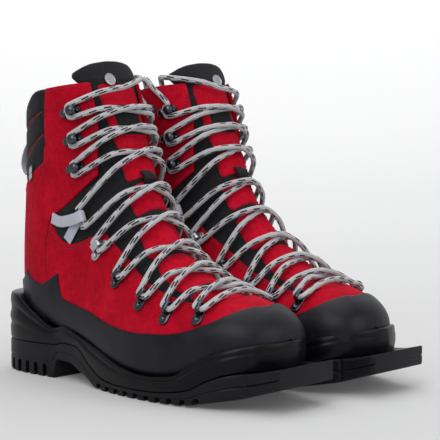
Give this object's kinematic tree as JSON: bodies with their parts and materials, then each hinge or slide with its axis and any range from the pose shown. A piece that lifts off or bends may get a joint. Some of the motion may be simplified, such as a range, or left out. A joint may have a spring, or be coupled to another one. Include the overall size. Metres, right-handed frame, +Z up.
{
  "type": "ski touring boots",
  "caption": "Pair of laced leather ski-touring boots with a rubber rand, a lugged sole and a flat duckbill toe with pin holes for a cable or pin binding.",
  "frame": {"origin": "on the floor under the middle of the pair's bounding box", "axes": "+Z up, toes towards -Y, the wearer's left boot on the +X side"},
  "size_m": [0.215, 0.3262, 0.2605],
  "materials": {
    "red_leather": "matte nubuck",
    "tongue_leather": "matte nubuck over padding",
    "rand_rubber": "satin",
    "midsole_rubber": "satin",
    "sole_rubber": "satin",
    "black_textile": "matte",
    "black_padding": "matte",
    "footbed_felt": "matte",
    "fibre_board": "matte",
    "grip_webbing": "woven",
    "strap_webbing": "woven, slightly shiny",
    "lace_cord": "braided",
    "gunmetal_steel": "glossy"
  },
  "bodies": {
    "right_boot": {"right_outsole": "sole_rubber", "right_midsole": "midsole_rubber", "right_rand": "rand_rubber", "right_vamp": "red_leather", "right_tongue": "tongue_leather", "right_lining": "black_textile", "right_footbed": "footbed_felt", "right_lasting_board": "fibre_board", "right_lace": "lace_cord", "right_loop_1_outer": "gunmetal_steel", "right_loop_1_inner": "gunmetal_steel", "right_loop_2_outer": "gunmetal_steel", "right_loop_2_inner": "gunmetal_steel", "right_loop_3_outer": "gunmetal_steel", "right_loop_3_inner": "gunmetal_steel", "right_loop_4_outer": "gunmetal_steel", "right_loop_4_inner": "gunmetal_steel", "right_lace_lock_outer": "gunmetal_steel", "right_lace_lock_inner": "gunmetal_steel", "right_ankle_strap_outer": "strap_webbing", "right_ankle_strap_inner": "strap_webbing"},
    "right_cuff": {"right_cuff": "red_leather", "right_collar_pad": "black_padding", "right_pull_loop": "grip_webbing", "right_hook_1_outer": "gunmetal_steel", "right_hook_1_inner": "gunmetal_steel", "right_hook_2_outer": "gunmetal_steel", "right_hook_2_inner": "gunmetal_steel", "right_hook_3_outer": "gunmetal_steel", "right_hook_3_inner": "gunmetal_steel"},
    "left_boot": {"left_outsole": "sole_rubber", "left_midsole": "midsole_rubber", "left_rand": "rand_rubber", "left_vamp": "red_leather", "left_tongue": "tongue_leather", "left_lining": "black_textile", "left_footbed": "footbed_felt", "left_lasting_board": "fibre_board", "left_lace": "lace_cord", "left_loop_1_outer": "gunmetal_steel", "left_loop_1_inner": "gunmetal_steel", "left_loop_2_outer": "gunmetal_steel", "left_loop_2_inner": "gunmetal_steel", "left_loop_3_outer": "gunmetal_steel", "left_loop_3_inner": "gunmetal_steel", "left_loop_4_outer": "gunmetal_steel", "left_loop_4_inner": "gunmetal_steel", "left_lace_lock_outer": "gunmetal_steel", "left_lace_lock_inner": "gunmetal_steel", "left_ankle_strap_outer": "strap_webbing", "left_ankle_strap_inner": "strap_webbing"},
    "left_cuff": {"left_cuff": "red_leather", "left_collar_pad": "black_padding", "left_pull_loop": "grip_webbing", "left_hook_1_outer": "gunmetal_steel", "left_hook_1_inner": "gunmetal_steel", "left_hook_2_outer": "gunmetal_steel", "left_hook_2_inner": "gunmetal_steel", "left_hook_3_outer": "gunmetal_steel", "left_hook_3_inner": "gunmetal_steel"}
  },
  "joints": [
    {"name": "right_ankle_flex", "type": "hinge", "parent": "right_boot", "child": "right_cuff", "pos_m": [-0.0499, 0.09215, 0.133], "axis": [1, 0, 0], "range_deg": [-3, 10], "stiffness_Nm_per_rad": 30, "deforming": ["right_lining", "right_tongue", "right_lace"]},
    {"name": "left_ankle_flex", "type": "hinge", "parent": "left_boot", "child": "left_cuff", "pos_m": [0.0499, 0.08085, 0.133], "axis": [1, 0, 0], "range_deg": [-3, 10], "stiffness_Nm_per_rad": 30, "deforming": ["left_lining", "left_tongue", "left_lace"]},
    {"name": "left_boot_lift", "type": "slide", "parent": "right_boot", "child": "left_boot", "axis": [0, 0, 1], "range_m": [0, 0.3]}
  ]
}
